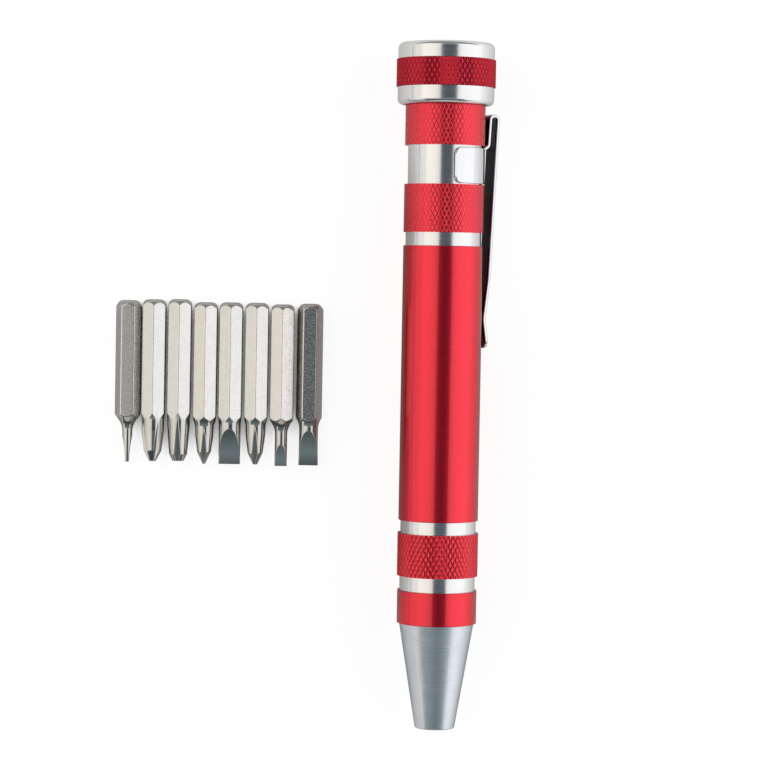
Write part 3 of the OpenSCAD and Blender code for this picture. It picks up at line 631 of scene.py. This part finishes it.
def bit_mesh(name, place, shoulder, corner_up, throat, front, ground):
    """A star-shaped mesh: at each height, the least radius that the hexagon, the blank and the grinding leave."""
    turn = np.radians(np.arange(BIT_TURNS) * 360 / BIT_TURNS)
    # Rings are close together over the ground end and the rounded back, and wide apart along the hexagon
    heights = np.concatenate([
        [0.0, 0.03, 0.07], np.arange(0.14, FACE_AT + 0.6, 0.11), np.linspace(FACE_AT + 0.7, BIT_LEN - 1.7, 8),
        np.arange(BIT_LEN - 1.6, BIT_LEN - 0.04, 0.07), [BIT_LEN - 0.02, BIT_LEN],
    ])
    outline = bit_outline(throat, shoulder, front, heights)
    first = math.radians(30 if corner_up else 0)
    flats = []
    for k in range(6):
        facing = np.cos(turn - first - math.radians(30 + 60 * k))
        flats.append(np.where(facing > 0.3, HEX_IN / np.maximum(facing, 0.3), FAR_OUT))
    flats = np.sort(np.array(flats), axis=0)
    hexagon = softer(flats[0], flats[1], width=0.13)
    radius = softer(hexagon[None, :], outline[:, None], width=0.07)
    radius = ground(radius, turn, heights)
    points, faces = [], []
    for i, height in enumerate(heights):
        for k in range(BIT_TURNS):
            x, y = radius[i, k] * math.cos(turn[k]), radius[i, k] * math.sin(turn[k])
            points.append((place[0] + x, place[1] + height, place[2] - y))
    for i in range(len(heights) - 1):
        for k in range(BIT_TURNS):
            a, b = i * BIT_TURNS + k, i * BIT_TURNS + (k + 1) % BIT_TURNS
            faces.append([a, b, b + BIT_TURNS, a + BIT_TURNS])
    ends = len(points)
    points += [(place[0], place[1], place[2]), (place[0], place[1] + BIT_LEN, place[2])]
    top = (len(heights) - 1) * BIT_TURNS
    for k in range(BIT_TURNS):
        faces.append([ends, (k + 1) % BIT_TURNS, k])
        faces.append([ends + 1, top + k, top + (k + 1) % BIT_TURNS])
    return mesh_object(name, points, faces, smooth_angle=30)


def hollow_ground(sizes, turned_by):
    """Grinds a slotted blade hollow from both sides, with a wheel."""
    neck_w, blade_t, length, _ = sizes
    neck, half_t = neck_w / 2, blade_t / 2
    chord = np.array([neck - half_t, length])
    side = np.array([length, half_t - neck])
    side = side / np.linalg.norm(side) * math.sqrt(WHEEL_R ** 2 - chord @ chord / 4)
    wheel = np.array([half_t, 0]) + chord / 2 + side

    def ground(radius, turn, heights):
        thick = wheel[0] - np.sqrt(WHEEL_R ** 2 - np.minimum((heights - wheel[1]) ** 2, WHEEL_R ** 2 - 1))
        thick = np.where(heights < length, thick, FAR_OUT)
        across = np.maximum(np.abs(np.sin(turn - math.radians(turned_by))), 1e-3)
        return softer(radius, np.minimum(thick[:, None] / across[None, :], FAR_OUT), width=0.05)

    return ground


def fluted(sizes, turned_by):
    """Cuts four leaning V flutes in a cross point."""
    neck_w, _, _, core, length = sizes
    neck, opening = neck_w / 2, math.radians(46)

    def ground(radius, turn, heights):
        deep = (core + heights * (neck - core) / length)[:, None]
        for k in range(4):
            off = np.abs((turn - math.radians(turned_by + 90 * k) + math.pi) % (2 * math.pi) - math.pi)[None, :]
            left = np.maximum(np.sin(np.maximum(opening - off, 0)), 1e-4)
            flute = np.where(off < opening, np.minimum(deep * math.sin(opening) / left, FAR_OUT), FAR_OUT)
            flute = np.where((heights < length + 0.3)[:, None], flute, FAR_OUT)
            radius = softer(radius, flute, width=0.06)
        return radius

    return ground


def plated(name, colour, tint, rough, pit_height, tip_y):
    """Nickel plate: drawn lines and pits on the hexagon, finer turned lines below its shoulder."""
    material, tree, shader = material_nodes(name)
    where = add(tree, "ShaderNodeTexCoord").outputs["Object"]
    stretched = add(tree, "ShaderNodeMapping", {"Vector": where, "Scale": (3600, 90, 3600)}).outputs[0]
    hooped = add(tree, "ShaderNodeMapping", {"Vector": where, "Scale": (60, 5200, 60)}).outputs[0]
    pits, cloud = noise(tree, where, scale=3000.0, detail=2.0), noise(tree, where, scale=700.0, detail=3.0)
    drawn, hoops = noise(tree, stretched, scale=1.0, detail=3.0), noise(tree, hooped, scale=1.0, detail=2.0)
    high = add(tree, "ShaderNodeSeparateXYZ", {0: where}).outputs["Y"]
    shank = spread(tree, high, 0, 1, (tip_y + 7.6) * MM, (tip_y + 8.2) * MM)
    streaks = maths(tree, "MULTIPLY", maths(tree, "ADD", cloud, drawn), 0.5)
    nickel = colour_mix(tree, spread(tree, streaks, 0, 1), colour, tint)
    ground = colour_mix(tree, shank, (0.8, 0.8, 0.79), (1, 1, 1))
    tree.links.new(colour_mix(tree, 1.0, nickel, ground, "MULTIPLY"), shader.inputs["Base Color"])
    rough_shank = spread(tree, pits, rough - 0.06, rough + 0.1)
    roughness = add(tree, "ShaderNodeMix", {0: shank, 2: rough * 0.6, 3: rough_shank}, data_type="FLOAT")
    tree.links.new(roughness.outputs[0], shader.inputs["Roughness"])
    coarse, fine = maths(tree, "ADD", pits, drawn), maths(tree, "MULTIPLY", hoops, 0.35)
    heights = add(tree, "ShaderNodeMix", {0: shank, 2: fine, 3: coarse}, data_type="FLOAT")
    in_relief(tree, shader, heights.outputs[0], pit_height)
    shader.inputs["Metallic"].default_value = 1.0
    return material


ROW_X, ROW_TIP_Y, BIT_GAP, FLAT_UP = -33.353322, -14.35, 0.5, (0, 7)
STEEL = plated("bit_steel", (0.87, 0.855, 0.82), (0.79, 0.77, 0.735), rough=0.2, pit_height=0.0003, tip_y=ROW_TIP_Y)
centre = ROW_X
# Each row: node, shoulder's lean in degrees, sizes, turn of the grinding, gap before it and slip lengthwise.
# Sizes of a slotted bit: neck, blade's thickness, hollow length, flare.
# Sizes of a cross bit: neck, root of the point, its end, core between the flutes, length of the flutes
for i, (node, shoulder, sizes, turned_by, gap, slip) in enumerate((
    ("slotted_bit_1_5", 36, (1.76, 0.62, 4.6, 0), 90, 0, 0.3),
    ("cross_bit_1", 24, (3.9, 3.1, 1.27, 0.5, 6.8), -58, 0.4, 0.7),
    ("cross_bit_2", 24, (3.94, 3.3, 2.1, 0.72, 8), -92, 1, 0.9),
    ("cross_bit_00", 24, (3.2, 2.6, 0.5, 0.24, 6.2), -88, 1.1, 0),
    ("slotted_bit_3_5", 24, (3.8, 0.7, 6.2, 0), 0, 0.9, 0.1),
    ("cross_bit_0", 24, (3.5, 2.8, 0.81, 0.34, 6.6), -90, 1.1, 0.1),
    ("slotted_bit_2", 36, (2.16, 0.45, 3.8, 0), 0, 1, -0.3),
    ("slotted_bit_3", 36, (3.3, 0.6, 6.1, 0.16), 0, 1, 0.1),
)):
    half_w, half_h = (HEX_OUT, HEX_IN) if i in FLAT_UP else (HEX_IN, HEX_OUT)
    centre += gap * BIT_GAP + half_w
    place = (centre, ROW_TIP_Y + slip * BIT_GAP, half_h)
    centre += half_w
    neck = sizes[0] / 2
    if node.startswith("slotted"):
        _, _, hollow_len, flare = sizes
        blade = neck + flare / 2
        front = [(blade - 0.04, 0), (blade, 0.05), (neck, hollow_len / 2)]
        grinding = hollow_ground(sizes, turned_by)
    else:
        _, root_w, end_w, _, flute_len = sizes
        root, end = root_w / 2, end_w / 2
        front = [(end - 0.05, 0), (end, 0.06), (root, (root - end) / math.tan(POINT_ANGLE)), (neck, 0.8 * flute_len)]
        grinding = fluted(sizes, turned_by)
    piece = bit_mesh(node + "_ground", place, shoulder, i not in FLAT_UP, neck, front, grinding)
    piece.data.materials.append(STEEL)
    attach(piece, node)
    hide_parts(node)

# Socket, magnet and seal. A steel bush pressed in the nose, the magnet behind it and the rubber ring in the cap.
# They keep the shape that the frame gives them.
MAGNET = turned_metal("magnet", (0.6, 0.6, 0.6), (0.5, 0.5, 0.5),
                      rough_low=0.18, rough_high=0.3, line_height=0.001)
BUSH = turned_metal("bush_steel", (0.62, 0.6, 0.57), (0.55, 0.53, 0.5),
                    rough_low=0.2, rough_high=0.34, line_height=0.002)
RUBBER, rubber_tree, rubber = material_nodes("seal_rubber")
grain = noise(rubber_tree, upright_coordinates(rubber_tree), scale=3000.0, detail=3.0)
dusty = colour_mix(rubber_tree, spread(rubber_tree, grain, 0, 1), (0.018, 0.018, 0.02), (0.03, 0.03, 0.033))
rubber_tree.links.new(dusty, rubber.inputs["Base Color"])
rubber_tree.links.new(spread(rubber_tree, grain, 0.45, 0.65), rubber.inputs["Roughness"])
for name, finish in (("bit_socket", BUSH), ("socket_magnet", MAGNET), ("cap_seal", RUBBER)):
    node_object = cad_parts[name]
    node_object.data.materials.clear()
    node_object.data.materials.append(finish)

# Table, studio and camera. A white table under two tall leaning softboxes, with a dark gap between them.
# The gap over the driver draws its dark stripe, and the right softbox is the brighter and cooler one.


def stage_mesh(name, quads):
    mesh = bpy.data.meshes.new(name)
    points = [tuple(p * MM for p in point) for quad in quads for point in quad]
    mesh.from_pydata(points, [], [tuple(range(4 * i, 4 * i + 4)) for i in range(len(quads))])
    made = bpy.data.objects.new(name, mesh)
    bpy.context.scene.collection.objects.link(made)
    return made


def empty_material(name):
    material = bpy.data.materials.new(name)
    material.use_nodes = True
    material.node_tree.nodes.clear()
    return material, material.node_tree


floor = stage_mesh("table", [[(-900, -1500, 0), (1500, -1500, 0), (1500, 1500, 0), (-900, 1500, 0)]])
table, tree = empty_material("table")
where = add(tree, "ShaderNodeTexCoord").outputs["Object"]
spot = add(tree, "ShaderNodeSeparateXYZ", {0: where}).outputs
# In reflections the table glows with painted light, less where it is sheltered: pale far out on both sides, and a
# painted shade from the bits to the driver.
# Beyond the driver's middle the glow is lifted towards both of its ends
sides = ramped(tree, spread(tree, spot["X"], 0, 1, -0.2, 0.2), [
    (0.2, (0.5, 0.5, 0.5)), (0.35, (0.16, 0.16, 0.16)), (0.38, (0.06, 0.06, 0.06)), (0.45, (0.06, 0.06, 0.06)),
    (0.5, (0.04, 0.04, 0.04)), (0.55, (0.1, 0.1, 0.1)), (0.6, (0.4, 0.4, 0.4)), (0.7, (0.56, 0.56, 0.56)),
])
ends = spread(tree, maths(tree, "ABSOLUTE", spot["Y"]), 0.0, 0.32, 0.024, 0.044)
matt = add(tree, "ShaderNodeBsdfDiffuse", {"Color": (0.6, 0.6, 0.6, 1)})
sheltered = add(tree, "ShaderNodeAmbientOcclusion", {"Distance": 0.03}, samples=4).outputs["AO"]
painted_glow = maths(tree, "MULTIPLY", maths(tree, "MAXIMUM", sides, ends), sheltered)
lifted = add(tree, "ShaderNodeEmission", {"Color": (1, 1, 1, 1), "Strength": painted_glow})
bright = add(tree, "ShaderNodeAddShader", {0: matt.outputs[0], 1: lifted.outputs[0]})
# The camera sees it white: it glows, over a faint real shadow, and a painted shade from a short occlusion darkens it
# close under each piece and in narrow gaps. Far off it meets the white beyond
seen_matt = add(tree, "ShaderNodeBsdfDiffuse", {"Color": (0.25, 0.25, 0.25, 1)})
painted_gap_shade = add(tree, "ShaderNodeAmbientOcclusion", {"Distance": 0.003}, samples=8).outputs["AO"]
far = add(tree, "ShaderNodeVectorMath", {0: where}, operation="LENGTH").outputs["Value"]
lit = maths(tree, "ADD", spread(tree, painted_gap_shade, 0.0, 0.885, 0.1, 0.5), spread(tree, far, 0.0, 0.2, 0.12, 0.6))
glow = add(tree, "ShaderNodeEmission", {"Color": (1, 1, 1, 1), "Strength": lit})
seen = add(tree, "ShaderNodeAddShader", {0: seen_matt.outputs[0], 1: glow.outputs[0]})
rays = add(tree, "ShaderNodeLightPath")
chosen = add(tree, "ShaderNodeMixShader", {0: rays.outputs["Is Camera Ray"], 1: bright.outputs[0], 2: seen.outputs[0]})
add(tree, "ShaderNodeOutputMaterial", {"Surface": chosen.outputs[0]})
floor.data.materials.append(table)

BOX_TOP = 450
for name, quads, stops in (
    ("softbox_left", [
        [(-80, -170, BOX_TOP), (-390, -170, 240), (-390, 420, 240), (-80, 420, BOX_TOP)],
        [(-390, -460, 240), (-700, -460, 40), (-700, 420, 40), (-390, 420, 240)],
    ], [
        (0.0, (0.8, 0.76, 0.71)), (0.15, (0.96, 0.92, 0.86)), (0.4, (1.04, 0.99, 0.92)), (0.46, (1.0, 0.95, 0.88)),
        (0.5, (0.78, 0.75, 0.7)), (0.58, (0.85, 0.82, 0.78)), (0.8, (0.8, 0.78, 0.75)), (1.0, (0.75, 0.75, 0.74)),
    ]),
    ("softbox_right", [
        [(236, -200, BOX_TOP), (400, -200, 320), (400, 420, 320), (236, 420, BOX_TOP)],
        [(400, -460, 320), (750, -460, 0), (750, 420, 0), (400, 420, 320)],
    ], [
        (0.0, (0.85, 0.86, 0.88)), (0.15, (1.0, 1.0, 1.01)), (0.5, (1.07, 1.07, 1.09)), (1.0, (1.05, 1.05, 1.08)),
    ]),
):
    softbox = stage_mesh(name, quads)
    softbox.visible_camera = False
    lamp, tree = empty_material(name)
    where = add(tree, "ShaderNodeTexCoord").outputs["Object"]
    down = spread(tree, add(tree, "ShaderNodeSeparateXYZ", {0: where}).outputs["Z"], 0, 1, BOX_TOP * MM, 0)
    shining = add(tree, "ShaderNodeEmission", {"Color": ramped(tree, down, stops), "Strength": 1.0})
    add(tree, "ShaderNodeOutputMaterial", {"Surface": shining.outputs[0]})
    softbox.data.materials.append(lamp)

# A low card beside the driver keeps its red out of the bits. It shows only in reflections, from the bits' side, where
# it glows a dark reddish grey: a painted reflection of the driver's red in shade
CARD_X, CARD_HIGH, CARD_LONG = 11, 11, 40
card = stage_mesh("card", [[
    (CARD_X, -CARD_LONG, 0), (CARD_X, -CARD_LONG, CARD_HIGH), (CARD_X, CARD_LONG, CARD_HIGH), (CARD_X, CARD_LONG, 0),
]])
card.visible_camera = card.visible_diffuse = card.visible_shadow = False
shield, tree = empty_material("card")
behind = add(tree, "ShaderNodeNewGeometry").outputs["Backfacing"]
painted_reflection = add(tree, "ShaderNodeEmission", {"Color": (0.17, 0.1, 0.1, 1), "Strength": 1.0})
clear = add(tree, "ShaderNodeBsdfTransparent")
one_sided = add(tree, "ShaderNodeMixShader", {0: behind, 1: painted_reflection.outputs[0], 2: clear.outputs[0]})
add(tree, "ShaderNodeOutputMaterial", {"Surface": one_sided.outputs[0]})
card.data.materials.append(shield)

# Around it all a dark room for reflections, and plain white behind the table for the camera
world = bpy.data.worlds.new("studio")
bpy.context.scene.world = world
world.use_nodes = True
tree = world.node_tree
tree.nodes.clear()
sky = add(tree, "ShaderNodeSeparateXYZ", {0: add(tree, "ShaderNodeTexCoord").outputs["Generated"]})
dim = ramped(tree, spread(tree, sky.outputs["Y"], 0, 1, -1, 1), [
    (0.0, (0.6, 0.6, 0.6)), (0.035, (0.5, 0.5, 0.5)), (0.06, (0.05, 0.055, 0.06)), (0.14, (0.08, 0.1, 0.11)),
    (0.3, (0.2, 0.26, 0.29)), (0.36, (0.15, 0.18, 0.2)),
    (0.44, (0.07, 0.085, 0.105)), (0.6, (0.07, 0.085, 0.105)), (0.75, (0.2, 0.22, 0.23)), (1.0, (0.26, 0.26, 0.26)),
])
studio = add(tree, "ShaderNodeBackground", {"Color": dim, "Strength": 1.0})
white = add(tree, "ShaderNodeBackground", {"Color": (1, 1, 1, 1), "Strength": 1.0})
rays = add(tree, "ShaderNodeLightPath")
chosen = add(tree, "ShaderNodeMixShader", {0: rays.outputs["Is Camera Ray"], 1: studio.outputs[0], 2: white.outputs[0]})
add(tree, "ShaderNodeOutputWorld", {"Surface": chosen.outputs[0]})

camera_data = bpy.data.cameras.new("camera")
camera_data.sensor_width, camera_data.lens = 36.0, 132.0
camera_data.clip_end = 10.0
camera = bpy.data.objects.new("camera", camera_data)
bpy.context.scene.collection.objects.link(camera)
LOOKED_AT = Vector((0.01493, -0.0006, 0.007))
CAMERA_AT = Vector((0.01493, 0.0113, 0.504))
PHOTO_ROLL = math.radians(1.016)
back = (CAMERA_AT - LOOKED_AT).normalized()
across = Vector((0, 1, 0)).cross(back).normalized()
turned_to = Matrix((across, back.cross(across), back)).transposed().to_4x4()
camera.matrix_world = Matrix.Translation(CAMERA_AT) @ turned_to @ Matrix.Rotation(PHOTO_ROLL, 4, "Z")
bpy.context.scene.camera = camera

bpy.context.scene.view_settings.view_transform = "Standard"
